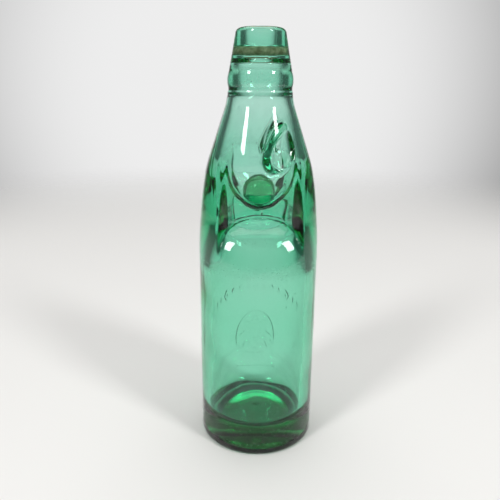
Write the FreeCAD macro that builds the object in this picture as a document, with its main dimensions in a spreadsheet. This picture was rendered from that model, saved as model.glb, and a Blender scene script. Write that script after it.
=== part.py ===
import FreeCAD, Part
import math
import os
import Sketcher

# A marble-stoppered (Codd-neck) soda bottle of thick moulded glass. A loose glass marble is shut in the
# chamber of its neck, and gas pressure holds that marble up against a rubber ring set inside the lip.
# Frame: origin at the centre of the foot, +Z up, the front of the bottle towards -Y, and the side of
# the pouring lugs towards +X. Lengths are in millimetres, angles in degrees.

DRIVING_DIMENSIONS = (
    ("total_height", 212.5, "foot to top of lip"),
    ("body_radius", 31.0, "outside of the straight body"),
    ("heel_round", 2.5, "rounding between foot and body"),
    ("foot_inner_radius", 21.0, "where the push-up under the base begins"),
    ("push_up", 3.0, "height of the push-up at the axis"),
    ("push_up_round", 75.0, "radius of the push-up's arc"),
    ("body_top", 105.0, "top of the straight body"),
    ("shoulder_radius", 29.0, "body radius at the middle of the shoulder"),
    ("shoulder_height", 135.0, "height of the middle of the shoulder"),
    ("lower_shoulder_round", 225.0, "arc from body to mid shoulder"),
    ("cone_foot_radius", 24.45, "lower end of the conical neck"),
    ("cone_foot_height", 154.5, "lower end of the conical neck"),
    ("upper_shoulder_round", 105.0, "arc from mid shoulder to cone"),
    ("cone_top_radius", 17.55, "upper end of the conical neck"),
    ("cone_top_height", 175.0, "upper end of the conical neck"),
    ("neck_radius", 15.6, "neck just under the lip's groove"),
    ("neck_height", 183.6, "height of the groove's lower edge"),
    ("neck_round", 45.0, "hollow arc from cone to neck"),
    ("groove_top_radius", 15.65, "lower edge of the lip"),
    ("groove_top_height", 187.5, "lower edge of the lip"),
    ("groove_round", 5.0, "hollow arc of the groove under the lip"),
    ("bead_top_radius", 15.28, "top of the lip's swollen bead"),
    ("bead_top_height", 193.9, "top of the lip's swollen bead"),
    ("bead_round", 17.0, "arc of the bead"),
    ("lip_radius", 12.1, "outside of the lip under its rounded top"),
    ("lip_round", 2.7, "rounding of the lip's outer top edge"),
    ("lip_top_radius", 9.8, "inner end of that rounding"),
    ("mouth_radius", 7.6, "mouth above the rubber ring"),
    ("mouth_round", 1.3, "rounding of the mouth's edge"),
    ("ring_height", 201.5, "centre of the rubber ring's section"),
    ("ring_centre_radius", 8.0, "axis of the bottle to the centre of the ring's section"),
    ("ring_section_radius", 2.1, "half the thickness of the ring"),
    ("ring_gap", 0.05, "room between ring and groove"),
    ("ledge_radius", 9.2, "inside of the ledge that holds the ring up"),
    ("ledge_foot_height", 198.6, "lower edge of that ledge"),
    ("bore_radius", 11.0, "bore between ring and chamber"),
    ("bore_top_height", 196.4, "upper end of the bore"),
    ("bore_foot_height", 188.5, "lower end of the bore"),
    ("bore_flare_radius", 13.1, "middle of the flare under the bore"),
    ("bore_flare_height", 181.5, "middle of the flare under the bore"),
    ("bore_flare_round", 25.0, "arc of the upper half of the flare"),
    ("chamber_top_radius", 15.0, "upper end of the chamber's cone"),
    ("chamber_top_height", 173.5, "upper end of the chamber's cone"),
    ("chamber_top_round", 80.0, "arc of the lower half of the flare"),
    ("chamber_foot_height", 152.0, "where the chamber's cone meets its bowl"),
    ("bowl_radius", 20.6, "round floor of the marble chamber"),
    ("bowl_centre_height", 149.5, "centre of the bowl"),
    ("waist_radius", 20.0, "side walls of the throat, between chamber and body"),
    ("waist_top_height", 144.0, "upper end of the throat's side walls"),
    ("waist_foot_height", 116.0, "lower end of the throat's side walls"),
    ("cavity_radius", 25.0, "inside of the body"),
    ("cavity_floor_height", 13.0, "top of the thick base"),
    ("cavity_floor_round", 7.0, "rounding between floor and wall"),
    ("cavity_top_height", 97.0, "upper end of the body's straight inside wall"),
    ("cavity_shoulder_round", 60.0, "arc from that wall to the throat's side walls"),
    ("ceiling_radius", 25.3, "arc of the soda space's ceiling, front and back"),
    ("scoop_radius", 26.3, "radius of each scooped pinch"),
    ("scoop_axis_distance", 39.1, "bottle axis to scoop axis"),
    ("scoop_top_height", 151.0, "top of the scoop's cutter"),
    ("dome_height", 97.5, "centre of the arc over the front of the body"),
    ("dome_spread", 19.0, "how far behind the bottle axis each dome turns"),
    ("web_thickness", 7.6, "glass between a scoop and the throat behind it"),
    ("globe_radius", 20.0, "arc of the chamber's outside above each scoop"),
    ("globe_spread", 4.5, "bottle axis to the middle of that arc"),
    ("globe_height", 148.5, "height of the middle of that arc"),
    ("globe_brim_radius", 31.0, "flared top edge of the chamber's outside"),
    ("lug_azimuth", 25.0, "degrees from front or back towards +X"),
    ("lug_height", 157.0, "height of the lugs"),
    ("lug_centre_radius", 17.3, "bottle axis to the centre of a lug's round end"),
    ("lug_inside_round", 8.4, "round end of a lug inside the chamber"),
    ("lug_outside_round", 5.0, "round end of the dimple outside"),
    ("lug_mouth_radius", 7.8, "dimple where it leaves the neck"),
    ("lug_flare_length", 9.0, "length of the dimple's cone"),
    ("marble_radius", 8.3, "glass marble"),
    ("seat_gap", 0.05, "room between marble and throat at rest"),
    ("least_cut", 100.0, "smallest volume that each cutting step has to take away"),
)

doc = FreeCAD.newDocument("marble_stoppered_bottle")
dims = doc.addObject("Spreadsheet::Sheet", "dims")
for row, (alias, value, note) in enumerate(DRIVING_DIMENSIONS, start=1):
    dims.set(f"A{row}", alias)
    dims.set(f"B{row}", str(value))
    dims.set(f"C{row}", note)
    dims.setAlias(f"B{row}", alias)
doc.recompute()

UP = FreeCAD.Vector(0, 0, 1)
UPRIGHT = FreeCAD.Rotation(FreeCAD.Vector(1, 0, 0), 90)
HORIZONTAL_AXIS = -1
VERTICAL_AXIS = -2


def bound(expression):
    """Spell out a rule in sheet aliases so that FreeCAD can follow it."""
    words = expression.split(" ")
    aliases = {alias for alias, value, note in DRIVING_DIMENSIONS}
    return " ".join(f"dims.{word}" if word in aliases else word for word in words)


def number(expression):
    return float(dims.evalExpression(bound(expression)))


def add(kind, name, **rules):
    """Add an object and bind each named property to its rule."""
    thing = doc.addObject(kind, name)
    for path, rule in rules.items():
        thing.setExpression(path.replace("__", "."), bound(rule))
    return thing


def arc_between(start, end, radius, turn):
    """The short arc from start to end; turn is +1 with its centre on the left, -1 on the right."""
    chord = end - start
    middle = (start + end) * 0.5
    left = FreeCAD.Vector(-chord.y, chord.x, 0).normalize()
    centre = middle + left * turn * math.sqrt(radius ** 2 - (chord.Length / 2) ** 2)
    first, last = (start, end) if turn > 0 else (end, start)
    angles = [math.atan2(point.y - centre.y, point.x - centre.x) for point in (first, last)]
    if angles[1] < angles[0]:
        angles[1] += 2 * math.pi
    return Part.ArcOfCircle(Part.Circle(centre, UP, radius), *angles)


def outline(name, corners, arcs):
    """A fully constrained closed outline beside the vertical axis.

    corners are (radius, height) rules in order; arcs maps the number of the corner that an edge leaves
    to (radius rule, turn), and every other edge is straight.
    """
    sketch = doc.addObject("Sketcher::SketchObject", name)
    sketch.Placement = FreeCAD.Placement(FreeCAD.Vector(), UPRIGHT)
    points = [FreeCAD.Vector(number(across), number(height), 0) for across, height in corners]
    starts = []
    ends = []
    for index, start in enumerate(points):
        end = points[(index + 1) % len(points)]
        if index in arcs:
            radius, turn = arcs[index]
            edge = sketch.addGeometry(arc_between(start, end, number(radius), turn), False)
            size = sketch.addConstraint(Sketcher.Constraint("Radius", edge, number(radius)))
            sketch.setExpression(f"Constraints[{size}]", bound(radius))
        else:
            turn = 1
            edge = sketch.addGeometry(Part.LineSegment(start, end), False)
        starts.append((edge, 1 if turn > 0 else 2))
        ends.append((edge, 2 if turn > 0 else 1))
    for index, (across, height) in enumerate(corners):
        sketch.addConstraint(Sketcher.Constraint("Coincident", *ends[index - 1], *starts[index]))
        for kind, rule, zero_axis in (("DistanceX", across, VERTICAL_AXIS),
                                      ("DistanceY", height, HORIZONTAL_AXIS)):
            if number(rule) == 0:
                sketch.addConstraint(Sketcher.Constraint("PointOnObject", *starts[index], zero_axis))
            else:
                place = sketch.addConstraint(Sketcher.Constraint(kind, *starts[index], number(rule)))
                sketch.setExpression(f"Constraints[{place}]", bound(rule))
    return sketch


def turned(name, sketch, axis_base=FreeCAD.Vector()):
    """Solid of revolution of an outline about a vertical axis."""
    solid = doc.addObject("Part::Revolution", name)
    solid.Source = sketch
    solid.Axis = UP
    solid.Base = axis_base
    solid.Angle = 360
    solid.Solid = True
    return solid


def fused(name, pieces):
    union = doc.addObject("Part::MultiFuse", name)
    union.Shapes = pieces
    return union


def cut(name, base, tool):
    difference = doc.addObject("Part::Cut", name)
    difference.Base = base
    difference.Tool = tool
    return difference


# ---- glass blank: everything inside the bottle's outer skin, before it is pinched ----

def glass_blank():
    corners = [
        ("0", "push_up"),
        ("foot_inner_radius", "0"),
        ("body_radius - heel_round", "0"),
        ("body_radius", "heel_round"),
        ("body_radius", "body_top"),
        ("shoulder_radius", "shoulder_height"),
        ("cone_foot_radius", "cone_foot_height"),
        ("cone_top_radius", "cone_top_height"),
        ("neck_radius", "neck_height"),
        ("groove_top_radius", "groove_top_height"),
        ("bead_top_radius", "bead_top_height"),
        ("lip_radius", "total_height - lip_round"),
        ("lip_top_radius", "total_height"),
        ("0", "total_height"),
    ]
    arcs = {
        0: ("push_up_round", -1),
        2: ("heel_round", 1),
        4: ("lower_shoulder_round", 1),
        5: ("upper_shoulder_round", 1),
        7: ("neck_round", -1),
        8: ("groove_round", -1),
        9: ("bead_round", 1),
        11: ("lip_round", 1),
    }
    return turned("glass_blank", outline("blank_outline", corners, arcs))


# ---- pinches: an upright channel in front and behind, between a dome below and a globe above ----

def dome(name, radius):
    """The body's rounded front, as an arc turned about an axis behind the bottle's own."""
    corners = [
        ("0", "dome_height - heel_round"),
        (f"dome_spread + {radius}", "dome_height - heel_round"),
        (f"dome_spread + {radius}", "dome_height"),
        ("dome_spread", f"dome_height + {radius}"),
        ("0", f"dome_height + {radius}"),
    ]
    solid = turned(name, outline(f"{name}_outline", corners, {2: (radius, 1)}))
    solid.setExpression("Placement.Base.y", bound("dome_spread"))
    return solid


def pinch_tools(name, channel_radius, top_height, keepers):
    """A front and a back cutter: the channel, without the dome and the globe that it stops at."""
    channel = add("Part::Cylinder", f"{name}_channel", Radius=channel_radius,
                  Height=f"{top_height} - dome_height",
                  Placement__Base__y="- scoop_axis_distance", Placement__Base__z="dome_height")
    front = cut(f"front_{name}", channel, fused(f"{name}_keepers", keepers))
    back = doc.addObject("Part::Mirroring", f"back_{name}")
    back.Source = front
    back.Normal = FreeCAD.Vector(0, 1, 0)
    return fused(f"{name}_tools", [front, back])


def chamber_globe():
    corners = [
        ("0", "globe_height - globe_radius"),
        ("globe_spread", "globe_height - globe_radius"),
        ("globe_spread + globe_radius", "globe_height"),
        ("globe_brim_radius", "scoop_top_height"),
        ("0", "scoop_top_height"),
    ]
    return turned("chamber_globe", outline("globe_outline", corners, {1: ("globe_radius", 1)}))


def scoops():
    keepers = [dome("body_dome", "body_radius"), chamber_globe()]
    return pinch_tools("scoop", "scoop_radius", "scoop_top_height", keepers)


def webs():
    """The glass behind the scoops, which narrows the hollow to the throat that the marble rests on."""
    bowl = add("Part::Sphere", "chamber_bowl", Radius="bowl_radius", Placement__Base__z="bowl_centre_height")
    keepers = [dome("soda_ceiling", "ceiling_radius"), bowl]
    return pinch_tools("web", "scoop_radius + web_thickness", "chamber_foot_height", keepers)


# ---- pouring lugs: two deep dimples pressed into the neck on its +X side ----

def lug_tools():
    """The dimples' cutters outside, and the round ends that stand into the chamber."""
    dimples = []
    ends = []
    for side, facing in (("front", -1), ("back", 1)):
        azimuth = math.radians(number("lug_azimuth"))
        outward = FreeCAD.Vector(math.sin(azimuth), facing * math.cos(azimuth), 0)
        place = {
            "Placement__Base__x": "lug_centre_radius * sin( lug_azimuth * 1 deg )",
            "Placement__Base__y": f"{facing} * lug_centre_radius * cos( lug_azimuth * 1 deg )",
            "Placement__Base__z": "lug_height",
        }
        cone = add("Part::Cone", f"{side}_dimple_cone", Radius1="lug_outside_round",
                   Radius2="lug_mouth_radius", Height="lug_flare_length")
        cone.Placement.Rotation = FreeCAD.Rotation(UP, outward)
        for path, rule in place.items():
            cone.setExpression(path.replace("__", "."), bound(rule))
        tip = add("Part::Sphere", f"{side}_dimple_tip", Radius="lug_outside_round", **place)
        dimples.append(fused(f"{side}_dimple", [cone, tip]))
        ends.append(add("Part::Sphere", f"{side}_lug_end", Radius="lug_inside_round", **place))
    return dimples, ends


# ---- hollow inside: soda space, throat, marble chamber, bore, ring groove and mouth ----

def round_hollow():
    groove = "( ring_section_radius + ring_gap )"
    ring_top = f"ring_height + sqrt( {groove} ^ 2 - ( ring_centre_radius - mouth_radius ) ^ 2 )"
    ring_foot = f"ring_height - sqrt( {groove} ^ 2 - ( ledge_radius - ring_centre_radius ) ^ 2 )"
    bowl_edge = "sqrt( bowl_radius ^ 2 - ( chamber_foot_height - bowl_centre_height ) ^ 2 )"
    corners = [
        ("0", "cavity_floor_height"),
        ("cavity_radius - cavity_floor_round", "cavity_floor_height"),
        ("cavity_radius", "cavity_floor_height + cavity_floor_round"),
        ("cavity_radius", "cavity_top_height"),
        ("waist_radius", "waist_foot_height"),
        ("waist_radius", "waist_top_height"),
        (bowl_edge, "chamber_foot_height"),
        ("chamber_top_radius", "chamber_top_height"),
        ("bore_flare_radius", "bore_flare_height"),
        ("bore_radius", "bore_foot_height"),
        ("bore_radius", "bore_top_height"),
        ("ledge_radius", "ledge_foot_height"),
        ("ledge_radius", ring_foot),
        ("mouth_radius", ring_top),
        ("mouth_radius", "total_height - mouth_round"),
        ("mouth_radius + mouth_round", "total_height"),
        ("mouth_radius + mouth_round", "total_height + mouth_round"),
        ("0", "total_height + mouth_round"),
    ]
    arcs = {
        1: ("cavity_floor_round", 1),
        3: ("cavity_shoulder_round", 1),
        7: ("chamber_top_round", -1),
        8: ("bore_flare_round", -1),
        12: (groove, 1),
        14: ("mouth_round", -1),
    }
    return turned("round_hollow", outline("hollow_outline", corners, arcs))


def bottle():
    blank = glass_blank()
    dimples, lug_ends = lug_tools()
    round_room = round_hollow()
    pinched_room = cut("pinched_hollow", round_room, webs())
    hollow = cut("hollow", pinched_room, fused("lug_ends", lug_ends))
    pinched = cut("pinched_blank", blank, scoops())
    dimpled = cut("dimpled_blank", pinched, fused("dimples", dimples))
    glass = cut("bottle", dimpled, hollow)
    steps = [(round_room, pinched_room), (pinched_room, hollow), (blank, pinched), (pinched, dimpled),
             (dimpled, glass)]
    return glass, steps


# ---- the two loose pieces ----

def sealing_ring():
    return add("Part::Torus", "sealing_ring", Radius1="ring_centre_radius",
               Radius2="ring_section_radius", Placement__Base__z="ring_height")


def marble():
    half_width = "( scoop_axis_distance - scoop_radius - web_thickness )"
    seat = f"bowl_centre_height - sqrt( bowl_radius ^ 2 - {half_width} ^ 2 )"
    stand = f"sqrt( marble_radius ^ 2 - {half_width} ^ 2 ) + seat_gap"
    return add("Part::Sphere", "marble", Radius="marble_radius",
               Placement__Base__z=f"{seat} + {stand}")


glass, cutting_steps = bottle()
nodes = [glass, sealing_ring(), marble()]
doc.recompute()

for node in nodes:
    node.Label = node.Name
for thing in doc.Objects:
    if {"Invalid", "Error"} & set(thing.State):
        raise RuntimeError(f"{thing.Name} failed: {thing.State}")
for before, after in cutting_steps:
    if after.Shape.Volume > before.Shape.Volume - number("least_cut"):
        raise RuntimeError(f"{after.Name} cut nothing out of {before.Name}")

os.makedirs("parts", exist_ok=True)
for node in nodes:
    shape = node.Shape
    if shape.isNull() or not shape.isValid() or len(shape.Solids) != 1:
        raise RuntimeError(f"{node.Name} is not one valid solid")
    shape.exportStep(f"parts/{node.Label}.step")
    print(f"{node.Label}: {shape.Volume / 1000:.1f} cm3, box {shape.BoundBox}")
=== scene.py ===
import math

import bpy
import numpy as np
from mathutils import Matrix, Vector


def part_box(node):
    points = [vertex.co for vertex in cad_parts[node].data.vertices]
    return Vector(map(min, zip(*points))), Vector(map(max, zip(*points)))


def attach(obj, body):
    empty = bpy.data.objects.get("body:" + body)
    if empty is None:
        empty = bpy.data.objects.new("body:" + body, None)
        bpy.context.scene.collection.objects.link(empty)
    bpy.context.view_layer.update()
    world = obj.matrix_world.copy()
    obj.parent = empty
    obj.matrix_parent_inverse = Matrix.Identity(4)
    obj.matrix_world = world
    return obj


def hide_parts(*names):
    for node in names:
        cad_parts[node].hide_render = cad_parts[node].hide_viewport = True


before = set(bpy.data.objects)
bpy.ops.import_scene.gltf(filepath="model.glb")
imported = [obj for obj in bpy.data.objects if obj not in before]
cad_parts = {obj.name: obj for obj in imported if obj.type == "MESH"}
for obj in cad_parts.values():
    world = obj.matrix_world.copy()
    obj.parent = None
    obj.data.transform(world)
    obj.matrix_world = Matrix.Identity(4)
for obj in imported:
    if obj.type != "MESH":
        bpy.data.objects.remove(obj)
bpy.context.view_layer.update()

# Shapes are worked out in millimetres and degrees, then written to meshes in metres.
MM = 0.001
bottle_high = np.array(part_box("bottle")[1]) / MM
marble_low, marble_high = (np.array(corner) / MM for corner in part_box("marble"))
ring_low, ring_high = (np.array(corner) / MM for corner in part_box("sealing_ring"))

BODY_RADIUS = bottle_high[0] - 0.3    # less than in CAD, as waves, seams and raised marks stand out from it
TOTAL_HEIGHT = bottle_high[2]
MARBLE_RADIUS = (marble_high[0] - marble_low[0]) / 2
MARBLE_CENTRE = (marble_low + marble_high) / 2
RING_SECTION = (ring_high[2] - ring_low[2]) / 2
RING_HEIGHT = (ring_high[2] + ring_low[2]) / 2
RING_CENTRE = ring_high[0] - RING_SECTION

FRONT = -90.0    # degrees round from +X
BACK = 90.0
COLUMNS = 236    # of the bottle's mesh; the rows and columns together stay under the export's triangles


# ---- small helpers ----

def soft_min(a, b, width):
    overlap = np.maximum(width - np.abs(a - b), 0) / width
    return np.minimum(a, b) - overlap ** 2 * width / 4


def soft_max(a, b, width):
    return -soft_min(-a, -b, width)


def smooth_step(value):
    value = np.clip(value, 0, 1)
    return value * value * (3 - 2 * value)


def bend(start, end, radius, steps):
    """Points from start to end, start left out. radius 0 is straight, above 0 has its centre on the left
    of the way there, below 0 on the right."""
    start, end = np.array(start, float), np.array(end, float)
    share = np.linspace(0, 1, steps + 1)[1:, None]
    if radius == 0:
        return start + (end - start) * share
    chord = end - start
    half = np.hypot(*chord) / 2
    left = np.array((-chord[1], chord[0])) / (2 * half) * math.copysign(1, radius)
    centre = (start + end) / 2 + left * math.sqrt(radius ** 2 - half ** 2)
    first = math.atan2(*(start - centre)[::-1])
    sweep = 2 * math.asin(half / abs(radius)) * math.copysign(1, radius)
    angles = first + sweep * share
    return centre + abs(radius) * np.hstack((np.cos(angles), np.sin(angles)))


def profile(start, legs):
    """Stations (radius, height) along legs of (radius, height, bend radius, spacing)."""
    points = [np.array([start], float)]
    for across, height, radius, spacing in legs:
        here = points[-1][-1]
        steps = max(1, round(math.hypot(across - here[0], height - here[1]) / spacing))
        points.append(bend(here, (across, height), radius, steps))
    return np.vstack(points)


def apart(angle, centre):
    """Degrees from centre to angle, between -180 and 180."""
    return (angle - centre + 180) % 360 - 180


def new_piece(name, vertices, faces, body, node, material):
    mesh = bpy.data.meshes.new(name)
    mesh.from_pydata((np.asarray(vertices) * MM).tolist(), [], faces)
    mesh.validate()
    mesh.shade_smooth()
    mesh.materials.append(material)
    piece = bpy.data.objects.new(name, mesh)
    bpy.context.scene.collection.objects.link(piece)
    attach(piece, body)
    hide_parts(node)
    return piece


# ---- materials ----

GLASS_TINT = (0.03, 0.79, 0.55)
GLASS_INDEX = 1.51
BOTTLE_DENSITY = 125    # how strongly a metre of the glass takes up light
MARBLE_DENSITY = 250
WORN_BANDS = ((2.0, 7.0), (98.0, 103.0), (186.0, 189.0))    # heights where bottles in a crate touch
BAND_FADE = 4.0


def new_material(name):
    material = bpy.data.materials.new(name)
    material.use_nodes = True
    nodes = material.node_tree.nodes
    return material, nodes, material.node_tree.links, nodes["Principled BSDF"], nodes["Material Output"]


def noise(nodes, links, scale, detail=3.0, stretch=(1, 1, 1)):
    """Noise in the piece's own metres; scale is in features per metre."""
    place = nodes.new("ShaderNodeTexCoord")
    mapping = nodes.new("ShaderNodeMapping")
    mapping.inputs["Scale"].default_value = stretch
    texture = nodes.new("ShaderNodeTexNoise")
    texture.inputs["Scale"].default_value = scale
    texture.inputs["Detail"].default_value = detail
    links.new(place.outputs["Object"], mapping.inputs["Vector"])
    links.new(mapping.outputs["Vector"], texture.inputs["Vector"])
    return texture.outputs["Fac"]


def spread(nodes, links, value, low, high, start=0.3, end=0.7):
    span = nodes.new("ShaderNodeMapRange")
    span.inputs["From Min"].default_value = start
    span.inputs["From Max"].default_value = end
    span.inputs["To Min"].default_value = low
    span.inputs["To Max"].default_value = high
    links.new(value, span.inputs["Value"])
    return span.outputs["Result"]


def add_bump(nodes, links, shader, height, depth_mm):
    bump = nodes.new("ShaderNodeBump")
    bump.inputs["Distance"].default_value = depth_mm * MM
    links.new(height, bump.inputs["Height"])
    links.new(bump.outputs["Normal"], shader.inputs["Normal"])


def band(nodes, links, height, low, high, soft):
    """1 between two heights in millimetres, fading to 0 over soft at both ends."""
    rising = spread(nodes, links, height, 0, 1, (low - soft) * MM, low * MM)
    falling = spread(nodes, links, height, 1, 0, high * MM, (high + soft) * MM)
    both = nodes.new("ShaderNodeMath")
    both.operation = "MULTIPLY"
    links.new(rising, both.inputs[0])
    links.new(falling, both.inputs[1])
    return both.outputs["Value"]


def scuffs(nodes, links, bands):
    """Roughness: almost none, apart from short rubbed marks in the bands given."""
    place = nodes.new("ShaderNodeTexCoord")
    parts = nodes.new("ShaderNodeSeparateXYZ")
    links.new(place.outputs["Object"], parts.inputs["Vector"])
    marks = spread(nodes, links, noise(nodes, links, 700, 3, (1, 1, 3)), 0, 0.4, 0.56, 0.7)
    total = spread(nodes, links, noise(nodes, links, 260, 4), 0.0, 0.05, 0.45, 0.8)
    for low, high in bands:
        worn = nodes.new("ShaderNodeMath")
        worn.operation = "MULTIPLY_ADD"
        links.new(marks, worn.inputs[0])
        links.new(band(nodes, links, parts.outputs["Z"], low, high, BAND_FADE), worn.inputs[1])
        links.new(total, worn.inputs[2])
        total = worn.outputs["Value"]
    return total


def green_glass(name, density, worn_bands):
    """Soda-lime glass whose colour comes from the length of glass that light crosses."""
    material, nodes, links, shader, output = new_material(name)
    shader.inputs["Base Color"].default_value = (1, 1, 1, 1)
    shader.inputs["Transmission Weight"].default_value = 1
    shader.inputs["IOR"].default_value = GLASS_INDEX
    links.new(scuffs(nodes, links, worn_bands), shader.inputs["Roughness"])
    add_bump(nodes, links, shader, noise(nodes, links, 90, 2, (1, 1, 0.45)), 0.06)
    inside = nodes.new("ShaderNodeVolumeAbsorption")
    inside.inputs["Color"].default_value = (*GLASS_TINT, 1)
    inside.inputs["Density"].default_value = density
    links.new(inside.outputs["Volume"], output.inputs["Volume"])
    return material


def aged_rubber():
    """Brown rubber, mottled, dull and finely cracked."""
    material, nodes, links, shader, _ = new_material("aged_rubber")
    ramp = nodes.new("ShaderNodeValToRGB")
    dark, light = ramp.color_ramp.elements
    dark.color, dark.position = (0.4, 0.22, 0.13, 1), 0.35
    light.color, light.position = (0.85, 0.57, 0.38, 1), 0.7
    links.new(noise(nodes, links, 420, 5), ramp.inputs["Fac"])
    links.new(ramp.outputs["Color"], shader.inputs["Base Color"])
    links.new(spread(nodes, links, noise(nodes, links, 900), 0.35, 0.65), shader.inputs["Roughness"])
    add_bump(nodes, links, shader, noise(nodes, links, 1600, 6), 0.12)
    return material


# ---- bottle ----

MARKS_REACH = 62         # degrees either side of the back with closer columns, for the raised marks
SCOOP_EDGE_TURN = 41     # degrees from the middle of a scoop to its edges


def columns_round():
    """Angles of the mesh's columns, closer together over the raised marks and the scoops' edges."""
    fine = np.linspace(-180, 180, 7201)
    density = np.ones_like(fine)
    density += 1.1 * smooth_step((MARKS_REACH - np.abs(apart(fine, BACK))) / 12)
    for face in (FRONT, BACK):
        for side in (-1, 1):
            density += 0.9 * np.exp(-(apart(fine, face + side * SCOOP_EDGE_TURN) / 5) ** 2)
    total = np.concatenate(([0], np.cumsum((density[1:] + density[:-1]) / 2)))
    wanted = np.linspace(0, total[-1], COLUMNS + 1)[:-1]
    return np.interp(wanted, total, fine)


ANGLES = columns_round()[None, :]
ROUND = np.radians(ANGLES)

SCOOP_FLOOR = 12.8           # bottle axis to the deepest line of a scoop, at its foot
SCOOP_TOP_FLOOR = 16.0       # the same at its top
SCOOP_LEAN = 0.4             # how far the floor comes forward for each millimetre up
LEAN_FROM = 124.5            # height where that begins
SCOOP_EDGE = (19.9, 21.8)    # each scoop's upright edges, aside and ahead of the bottle axis
WEB_THICKNESS = 7.6          # glass between a scoop and the throat behind it

DOME_HEIGHT = 97.5           # where the body's dome starts under a scoop
DOME_SPREAD = 19.0           # its arc turns about an axis this far behind the bottle's own
INNER_DOME = 25.3            # arc radius of the dome's inner skin
OUTER_GLOBE = (20.0, 4.5, 148.5)    # the chamber's round end over a scoop: arc, reach of its centre, height
INNER_GLOBE = (20.6, 0.0, 149.5)

LUG_FROM_FRONT = 26.5        # degrees from the middle of a scoop to the dimple beside it
LUG_HEIGHT = 158.5
LUG_RADIUS = 24              # about that of the shoulder there, which turns degrees into millimetres
LUG_LEAN = 0.35              # sideways for each millimetre up


def upright_channel(ahead, across, radius, distance):
    """Distance from the bottle axis to an upright round channel beside it.

    Past the channel's sides the distance grows, so nothing is cut there.
    """
    inside = radius ** 2 - (distance * across) ** 2
    channel = distance * ahead - np.sqrt(np.maximum(inside, 0))
    return channel + 1.5 * np.sqrt(np.maximum(-inside, 0))


def pinched(radius, height, channel, dome_radius, globe, edge):
    """Squeeze a skin front and back: a channel between the body's dome and the chamber's globe.

    channel is (radius, distance) of the channel and edge the softness of its edges; dome_radius is the arc
    of the dome; globe is (arc radius, distance of its centre from the axis, height of its centre). Beyond
    their own heights the dome and the globe flare outwards, so that the skin leaves them without a crease.
    """
    dome_flare, globe_flare = 60, 25
    rise = np.clip(height - DOME_HEIGHT, 0, dome_radius - 0.01)
    dome_reach = DOME_SPREAD + np.sqrt(dome_radius ** 2 - rise ** 2)
    dome_reach = dome_reach + np.minimum(height - DOME_HEIGHT, 0) ** 2 / dome_flare
    globe_radius, globe_spread, globe_height = globe
    above_globe = np.maximum(height - globe_height, 0)
    below_globe = np.clip(globe_height - height, 0, globe_radius)
    globe_reach = globe_spread + np.sqrt(globe_radius ** 2 - below_globe ** 2)
    globe_reach = globe_reach + above_globe ** 2 / globe_flare
    for face in (FRONT, BACK):
        away = np.radians(apart(ANGLES, face))
        ahead, across = np.cos(away), np.sin(away)
        dome = -DOME_SPREAD * ahead + np.sqrt(dome_reach ** 2 - (DOME_SPREAD * across) ** 2)
        cut = soft_max(upright_channel(ahead, across, *channel), soft_max(dome, globe_reach, 1.0), 1.1)
        radius = np.where(ahead > 0.05, soft_min(radius, cut, edge), radius)
    return radius


def leaning_channel(height):
    """The outer channel is shallower towards its top, between the same upright edges."""
    floor = np.clip(SCOOP_FLOOR + SCOOP_LEAN * (height - LEAN_FROM), SCOOP_FLOOR, SCOOP_TOP_FLOOR)
    sagitta = SCOOP_EDGE[1] - floor
    radius = (SCOOP_EDGE[0] ** 2 + sagitta ** 2) / (2 * sagitta)
    return radius, floor + radius


def lug_push(height, half_width, half_height, depth):
    """How far two teardrop dimples, narrower at the top, push towards the axis."""
    push = 0
    for face, turn in ((FRONT, 1), (BACK, -1)):
        across = np.radians(apart(ANGLES, face + turn * LUG_FROM_FRONT)) * LUG_RADIUS * turn
        up = height - LUG_HEIGHT
        width = half_width * (1 - 0.3 * np.clip(up / half_height, -0.4, 1))
        away = ((across - LUG_LEAN * up) / width) ** 2 + (up / half_height) ** 2
        push = push + depth * np.clip(1 - away, 0, 1) ** 1.3
    return push


def segment_distance(u, v, start, end):
    """Distance from the points (u, v) to a straight line from start to end."""
    along = np.subtract(end, start)
    share = ((u - start[0]) * along[0] + (v - start[1]) * along[1]) / np.dot(along, along)
    share = np.clip(share, 0, 1)
    return np.hypot(u - start[0] - share * along[0], v - start[1] - share * along[1])


MARK_RELIEF = 0.65      # how far the raised marks stand out
MARK_LINE = 0.55        # the width over which their sides rise
BOW_HEIGHT = 73.5
BOW_DROOP = 0.19
LOZENGE_PITCH = 5.6
LOZENGE_HALF = (1.7, 2.9)
ROSETTE = (0.0, 43.0)
ROSETTE_RING = 13.0
ROSETTE_HUB = 3.0
PETALS = 8
PETAL_ROOT = 3.6        # from the middle of the rosette
PETAL_WAIST = 7.2
PETAL_TIP = 11.0
PETAL_BOW = 1.9         # half of the petal's width
DASH_HEIGHT = 21.0
DASH_PITCH = 4.2
DASH_HALF = 1.1


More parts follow.
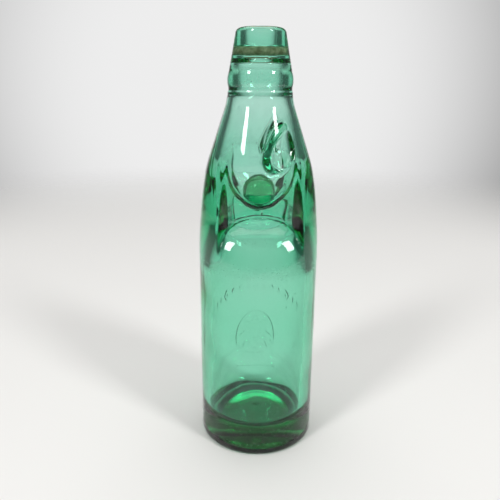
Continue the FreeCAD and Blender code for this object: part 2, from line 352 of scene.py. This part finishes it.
def raised_marks(height):
    """Plain raised ornament on the back: a bow of lozenges, a rosette in a ring, and a row of dashes.

    Every mark is a distance from a line or an outline; u is millimetres round the body and v is the height.
    """
    u = -np.radians(apart(ANGLES, BACK)) * BODY_RADIUS + 0 * height
    v = height + 0 * u
    shapes = []
    for step in range(-6, 7):
        centre = (step * LOZENGE_PITCH, BOW_HEIGHT - BOW_DROOP * step ** 2)
        lozenge = np.abs(u - centre[0]) / LOZENGE_HALF[0] + np.abs(v - centre[1]) / LOZENGE_HALF[1]
        shapes.append(np.abs(lozenge - 0.8) * 1.6 if step % 2 == 0 else (lozenge - 0.3) * 1.5)
    away = np.hypot(u - ROSETTE[0], v - ROSETTE[1])
    shapes.append(np.abs(away - ROSETTE_RING))
    shapes.append(np.abs(away - ROSETTE_HUB))
    for petal in range(PETALS):
        turn = petal * 2 * math.pi / PETALS
        out = np.array((math.sin(turn), math.cos(turn)))
        side = np.array((out[1], -out[0]))
        tip, root = out * PETAL_TIP + ROSETTE, out * PETAL_ROOT + ROSETTE
        for bow in (-1, 1):
            middle = out * PETAL_WAIST + side * bow * PETAL_BOW + ROSETTE
            shapes.append(segment_distance(u, v, root, middle))
            shapes.append(segment_distance(u, v, middle, tip))
    for step in range(-3, 4):
        start = (step * DASH_PITCH - DASH_HALF, DASH_HEIGHT)
        end = (step * DASH_PITCH + DASH_HALF, DASH_HEIGHT)
        shapes.append(segment_distance(u, v, start, end))
    nearest = np.min(shapes, axis=0)
    return MARK_RELIEF * smooth_step(1.7 - nearest / MARK_LINE)


def seams(height):
    """Fine ridges where the halves of the mould met, and the pinching tool's tick in each scoop."""
    seam_width, seam_relief = 0.5, 0.16
    seam_foot, seam_top = 3, 184
    tick_height, tick_turn, tick_relief, tick_reach = 126.2, 3, 0.7, 13
    ridge = 0
    for side in (0.0, 180.0):
        ridge = ridge + np.exp(-(np.radians(apart(ANGLES, side)) * BODY_RADIUS / seam_width) ** 2)
    ridge = ridge * smooth_step((height - seam_foot) / 6)
    ridge = ridge * smooth_step((seam_top - height) / 3) * seam_relief
    for face in (FRONT, BACK):
        across = np.radians(apart(ANGLES, face + tick_turn)) * tick_reach
        ridge = ridge + tick_relief * np.exp(-(across / 0.6) ** 2 - ((height - tick_height) / 1.6) ** 2)
    return ridge


def waves(height, size, seed):
    """Slow unevenness of blown glass: seeded waves, each an order round the axis and a length along it."""
    wave_lengths = (23.0, 41.0, 90.0)
    draw = np.random.default_rng(seed)
    total = 0
    for order in range(1, 7):
        for length in wave_lengths:
            phase, lean = draw.uniform(0, 2 * math.pi, 2)
            strength = draw.normal() / order
            total = total + strength * np.sin(order * ROUND + phase + height / length * 2 * math.pi + lean)
    return size * total / 4


# The skins' outlines, from the middle of the foot up to the mouth and back down inside.
PUSH_UP = 3.0
OUTSIDE = profile((0.0, PUSH_UP), (
    (21.0, 0.0, -75.0, 2.6),
    (BODY_RADIUS - 2.5, 0.0, 0, 2.5),
    (BODY_RADIUS, 2.5, 2.5, 0.5),
    (BODY_RADIUS, 17.0, 0, 2.4),
    (BODY_RADIUS, 80.0, 0, 0.85),
    (BODY_RADIUS, 105.0, 0, 2.5),
    (BODY_RADIUS - 1.15, 124.0, 200.0, 0.95),
    (26.4, 148.0, 160.0, 0.85),
    (24.45, 154.5, 105.0, 1.0),
    (16.75, 177.4, 0, 1.3),
    (15.75, 184.0, -30.0, 0.7),
    (15.45, 185.6, -2.0, 0.3),
    (15.6, 186.6, -2.0, 0.3),
    (15.2, 193.0, 11.5, 0.65),
    (12.1, TOTAL_HEIGHT - 2.7, 0, 1.3),
    (9.9, TOTAL_HEIGHT, 2.7, 0.45),
    (8.9, TOTAL_HEIGHT, 0, 0.5),
))


def outer_skin():
    """Radius and height of every point of the outer skin; wall keeps the middle of the foot plain."""
    radius, height = OUTSIDE[:, :1], OUTSIDE[:, 1:]
    wall = smooth_step((radius - 8) / 6)
    channel = leaning_channel(height)
    shaped = pinched(radius + 0 * ROUND, height, channel, BODY_RADIUS, OUTER_GLOBE, edge=1.8)
    shaped = shaped - lug_push(height, half_width=6.4, half_height=9.0, depth=9.4)
    body = smooth_step((height - 4) / 6) * smooth_step((205 - height) / 10)
    shaped = shaped + body * (waves(height, size=0.08, seed=3) + seams(height) + raised_marks(height))
    return shaped * wall + radius * (1 - wall), height + 0 * ROUND


GROOVE = RING_SECTION - 0.12    # the ring is pressed into its groove, so no air lies between them
MOUTH_RADIUS = 7.6
MOUTH_EDGE = 1.3
LEDGE_RADIUS = 9.2
BORE_RADIUS = 11.0
SODA_RADIUS = 25.0
MOUTH_END = RING_HEIGHT + 1.94      # where the mouth's wall meets the groove
LEDGE_TOP = RING_HEIGHT - 1.57      # where the groove meets the ledge
INSIDE = profile((MOUTH_RADIUS + MOUTH_EDGE, TOTAL_HEIGHT), (
    (MOUTH_RADIUS, TOTAL_HEIGHT - MOUTH_EDGE, MOUTH_EDGE, 0.4),
    (MOUTH_RADIUS, MOUTH_END, 0, 1.6),
    (RING_CENTRE + GROOVE, RING_HEIGHT, -GROOVE, 0.5),
    (LEDGE_RADIUS, LEDGE_TOP, -GROOVE, 0.5),
    (LEDGE_RADIUS + 0.1, 198.6, 0, 0.5),
    (BORE_RADIUS, 196.4, 0, 0.4),
    (BORE_RADIUS, 188.5, 0, 1.0),
    (13.1, 181.5, 25.0, 0.8),
    (15.0, 173.5, 80.0, 0.8),
    (20.45, 152.0, 0, 1.1),
    (21.0, 143.0, -40.0, 0.9),
    (20.0, 128.0, 60.0, 0.9),
    (22.0, 112.0, 50.0, 1.0),
    (SODA_RADIUS, 97.0, -60.0, 1.2),
    (SODA_RADIUS, 20.0, 0, 4.5),
    (18.0, 13.0, -7.0, 1.0),
    (0.0, 14.5, 0, 1.8),
))


def inner_skin():
    """Radius and height of every point of the hollow's skin, which runs upright behind the scoops."""
    radius, height = INSIDE[:, :1], INSIDE[:, 1:]
    foot_radius, foot_distance = leaning_channel(0)
    channel = foot_radius + WEB_THICKNESS, foot_distance
    squeezed = pinched(radius + 0 * ROUND, height, channel, INNER_DOME, INNER_GLOBE, edge=1.2)
    pinch_foot, pinch_top, lugs_foot = 85, 156, 130
    shaped = np.where((height > pinch_foot) & (height < pinch_top), squeezed, radius)
    push = lug_push(height, half_width=9.4, half_height=12.0, depth=9.8)
    shaped = np.where(height > lugs_foot, shaped - push, shaped)
    chamber = smooth_step((height - 131) / 8) * smooth_step((180 - height) / 6)
    body = smooth_step((112 - height) / 12) * smooth_step(radius / 8)
    shaped = shaped + chamber * waves(height, size=0.18, seed=11) + body * waves(height, size=0.45, seed=23)
    return shaped, height + 0 * ROUND


def ball(rings, sides):
    """Points and faces of a unit ball."""
    points, faces = [(0, 0, 1)], []
    for ring in range(1, rings):
        tilt = math.pi * ring / rings
        for side in range(sides):
            turn = 2 * math.pi * side / sides
            ahead, across = math.sin(tilt) * math.cos(turn), math.sin(tilt) * math.sin(turn)
            points.append((ahead, across, math.cos(tilt)))
    points.append((0, 0, -1))
    last = len(points) - 1
    for side in range(sides):
        following = (side + 1) % sides
        faces.append((0, 1 + side, 1 + following))
        for ring in range(rings - 2):
            upper = 1 + ring * sides
            faces.append((upper + side, upper + sides + side, upper + sides + following, upper + following))
        faces.append((last, last - sides + following, last - sides + side))
    return np.array(points), faces


def bubbles(outer, inner):
    """Seeds: small stretched air bubbles shut in the glass, with their skins facing inwards."""
    count = 26
    draw = np.random.default_rng(41)
    unit, unit_faces = ball(7, 12)
    vertices, faces = [], []
    for number in range(count):
        angle = draw.uniform(-180, 180)
        height = draw.uniform(14, 104) if number % 3 else draw.uniform(150, 196)
        column = np.argmin(np.abs(apart(ANGLES[0], angle)))
        out_radius = np.interp(height, outer[1][:, column], outer[0][:, column])
        in_order = np.argsort(inner[1][:, column])
        in_radius = np.interp(height, inner[1][in_order, column], inner[0][in_order, column])
        centre = in_radius + (out_radius - in_radius) * draw.uniform(0.35, 0.65)
        size = draw.uniform(0.16, 0.38)
        tall = draw.uniform(1.1, 2.0)
        around = math.radians(angle)
        middle = np.array((centre * math.cos(around), centre * math.sin(around), height))
        first = len(vertices)
        vertices.extend(middle + size * unit * (1, 1, tall))
        faces.extend(tuple(first + corner for corner in (face[0], *face[:0:-1])) for face in unit_faces)
    return vertices, faces


def lathe_faces(rows):
    """Quads between the rows of columns, which all face out of the glass."""
    grid = np.arange(rows * COLUMNS).reshape(rows, COLUMNS)
    following = np.roll(grid, -1, axis=1)
    quads = np.stack((grid[:-1], following[:-1], following[1:], grid[1:]), axis=-1)
    return quads.reshape(-1, 4).tolist()


def build_bottle():
    """One closed skin, with rows from the foot up to the mouth and down to the hollow's floor, and seeds."""
    outer = outer_skin()
    inner = inner_skin()
    radius = np.vstack((outer[0][1:], inner[0][1:-1]))
    height = np.vstack((outer[1][1:], inner[1][1:-1]))
    grid = np.stack((radius * np.cos(ROUND), radius * np.sin(ROUND), height), axis=-1)
    vertices = grid.reshape(-1, 3).tolist()
    faces = lathe_faces(len(radius))
    under = len(vertices)
    vertices.append((0, 0, OUTSIDE[0, 1]))
    floor_middle = len(vertices)
    vertices.append((0, 0, INSIDE[-1, 1]))
    last_row = under - COLUMNS
    for column in range(COLUMNS):
        following = (column + 1) % COLUMNS
        faces.append((under, following, column))
        faces.append((floor_middle, last_row + column, last_row + following))
    extra_vertices, extra_faces = bubbles(outer, inner)
    shift = len(vertices)
    vertices.extend(tuple(point) for point in extra_vertices)
    faces.extend(tuple(shift + corner for corner in face) for face in extra_faces)
    glass = green_glass("sea_green_glass", BOTTLE_DENSITY, WORN_BANDS)
    return new_piece("bottle_glass_body", vertices, faces, "bottle", "bottle", glass)


# ---- marble ----

def build_marble():
    """A pressed glass marble, very slightly out of round, with a faint tilted seam."""
    draw = np.random.default_rng(7)
    points, faces = ball(48, 96)
    seam_axis = np.array((0.45, 0.25, 0.86))
    seam_axis /= np.linalg.norm(seam_axis)
    size = np.full(len(points), MARBLE_RADIUS - 0.06)
    size += 0.03 * np.exp(-(points @ seam_axis / 0.025) ** 2)
    for _ in range(9):
        where = draw.normal(size=3)
        where /= np.linalg.norm(where)
        size -= draw.uniform(0.02, 0.07) * np.exp(-(np.arccos(np.clip(points @ where, -1, 1)) / 0.35) ** 2)
    points = points * size[:, None] + MARBLE_CENTRE
    glass = green_glass("marble_green_glass", MARBLE_DENSITY, ())
    return new_piece("glass_marble", points, faces, "marble", "marble", glass)


# ---- rubber ring ----

def build_ring():
    """An aged rubber ring, flattened on its lower inner side, where the marble has been pressing on it."""
    around, section = 144, 36
    flattened = math.radians(218)
    turn = np.linspace(0, 2 * math.pi, around, endpoint=False)[:, None]
    tilt = np.linspace(0, 2 * math.pi, section, endpoint=False)[None, :]
    size = RING_SECTION - 0.02 - 0.03 * (1 + np.sin(3 * turn + 1.0)) / 2
    size = size - 0.22 * np.exp(-((tilt - flattened) / 0.55) ** 2)
    size = size - 0.05 * np.abs(np.sin(17 * turn) * np.sin(5 * tilt + 2 * turn)) ** 6
    radius = RING_CENTRE + size * np.cos(tilt)
    points = np.stack((radius * np.cos(turn), radius * np.sin(turn),
                       RING_HEIGHT + size * np.sin(tilt) + 0 * turn), axis=-1).reshape(-1, 3)
    faces = []
    for step in range(around):
        here, there = step * section, (step + 1) % around * section
        for side in range(section):
            following = (side + 1) % section
            faces.append((here + side, there + side, there + following, here + following))
    return new_piece("rubber_sealing_ring", points, faces, "bottle", "sealing_ring",
                     aged_rubber())


build_bottle()
build_marble()
build_ring()


# ---- floor, light and camera ----

def build_floor():
    """A plain pale floor that fades away far from the bottle."""
    half = 2500
    fade_from, fade_to = 0.42, 1.1    # metres from the bottle
    corners = [(-half, -half, 0), (half, -half, 0), (half, half, 0), (-half, half, 0)]
    mesh = bpy.data.meshes.new("studio_floor")
    mesh.from_pydata((np.array(corners) * MM).tolist(), [], [(0, 1, 2, 3)])
    material, nodes, links, shader, output = new_material("pale_floor")
    shader.inputs["Base Color"].default_value = (0.8, 0.79, 0.77, 1)
    shader.inputs["Roughness"].default_value = 0.7
    shader.inputs["Specular IOR Level"].default_value = 0.2
    place = nodes.new("ShaderNodeTexCoord")
    reach = nodes.new("ShaderNodeVectorMath")
    reach.operation = "LENGTH"
    links.new(place.outputs["Object"], reach.inputs[0])
    fade = spread(nodes, links, reach.outputs["Value"], 0.0, 1.0, fade_from, fade_to)
    fade.node.interpolation_type = "SMOOTHSTEP"
    nothing = nodes.new("ShaderNodeBsdfTransparent")
    mix = nodes.new("ShaderNodeMixShader")
    links.new(fade, mix.inputs["Fac"])
    links.new(shader.outputs["BSDF"], mix.inputs[1])
    links.new(nothing.outputs["BSDF"], mix.inputs[2])
    links.new(mix.outputs["Shader"], output.inputs["Surface"])
    mesh.materials.append(material)
    floor = bpy.data.objects.new("studio_floor", mesh)
    bpy.context.scene.collection.objects.link(floor)


def build_world():
    """Soft light: a bright plain wall behind the bottle, and a dimmer room on every other side."""
    room, bright_wall = 0.14, 0.85
    world = bpy.data.worlds.new("studio")
    world.use_nodes = True
    nodes, links = world.node_tree.nodes, world.node_tree.links
    direction = nodes.new("ShaderNodeTexCoord")
    parts = nodes.new("ShaderNodeSeparateXYZ")
    links.new(direction.outputs["Generated"], parts.inputs["Vector"])
    wall = spread(nodes, links, parts.outputs["Y"], room, bright_wall, 0.8, 0.985)
    wall.node.interpolation_type = "SMOOTHSTEP"
    links.new(wall, nodes["Background"].inputs["Color"])
    nodes["Background"].inputs["Strength"].default_value = 1.0
    bpy.context.scene.world = world


def add_light(name, azimuth, elevation, distance, width, tall, power, target_height):
    """Area light that faces the axis at target_height; azimuth is degrees from the front towards +X."""
    turn, lift = math.radians(azimuth), math.radians(elevation)
    away = Vector((math.sin(turn) * math.cos(lift), -math.cos(turn) * math.cos(lift), math.sin(lift)))
    target = Vector((0, 0, target_height * MM))
    data = bpy.data.lights.new(name, "AREA")
    data.shape = "RECTANGLE"
    data.size = width * MM
    data.size_y = tall * MM
    data.energy = power
    lamp = bpy.data.objects.new(name, data)
    lamp.location = target + away * distance * MM
    lamp.rotation_euler = away.to_track_quat("Z", "Y").to_euler()
    bpy.context.scene.collection.objects.link(lamp)


def add_camera():
    """Close to the bottle at eye height over its shoulder, looking 17 degrees down."""
    distance, eye_height = 266.4, 186.2
    aside, down, turned, roll = (math.radians(angle) for angle in (-2.9, 17.1, 0.93, 0.45))
    data = bpy.data.cameras.new("camera")
    data.sensor_width = 36
    data.lens = 38.16
    data.clip_start = 0.01
    camera = bpy.data.objects.new("camera", data)
    across, ahead = distance * math.sin(aside), -distance * math.cos(aside)
    place = Matrix.Translation((across * MM, ahead * MM, eye_height * MM))
    look = Matrix.Rotation(aside + turned, 4, "Z") @ Matrix.Rotation(math.pi / 2 - down, 4, "X")
    camera.matrix_world = place @ look @ Matrix.Rotation(roll, 4, "Z")
    bpy.context.scene.collection.objects.link(camera)
    bpy.context.scene.camera = camera


build_floor()
build_world()
for name, azimuth in (("left_window", -46), ("right_window", 47)):
    add_light(name, azimuth, elevation=38, distance=1500, width=260, tall=540, power=9.5, target_height=150)
add_light("overhead", 180, elevation=80, distance=2000, width=2000, tall=2000, power=26, target_height=0)
add_camera()

scene = bpy.context.scene
scene.view_settings.view_transform = "Standard"
scene.cycles.max_bounces = 24
scene.cycles.transmission_bounces = 24
scene.cycles.glossy_bounces = 16
